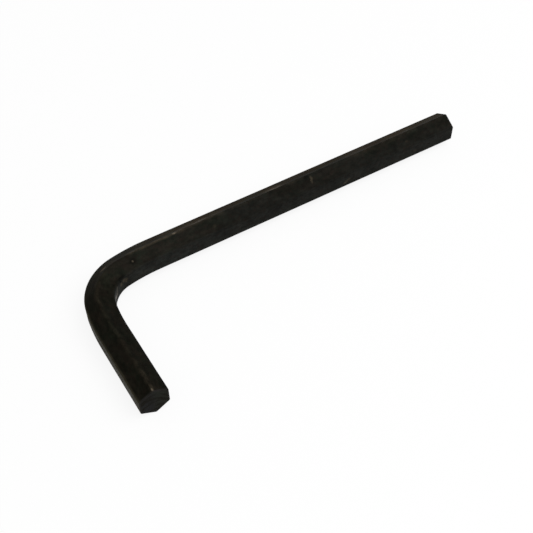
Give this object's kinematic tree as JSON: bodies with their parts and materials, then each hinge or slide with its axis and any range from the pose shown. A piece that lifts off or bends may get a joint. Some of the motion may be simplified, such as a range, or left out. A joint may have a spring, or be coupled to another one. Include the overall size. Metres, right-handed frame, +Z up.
{
  "type": "hex key",
  "caption": "L-shaped hexagonal steel key with a long and a short arm, for turning socket head screws, black oxide finish.",
  "frame": {"origin": "centre of the key's footprint, on the surface that it lies on", "axes": "+X along the long arm towards its tip, -Y along the short arm towards its tip, +Z up"},
  "size_m": [0.095, 0.035, 0.0068],
  "materials": {
    "black_steel": "black oxide, oiled, rubbed brown along the upper corner edges"
  },
  "bodies": {
    "root": {"hex_key": "black_steel"}
  },
  "joints": []
}
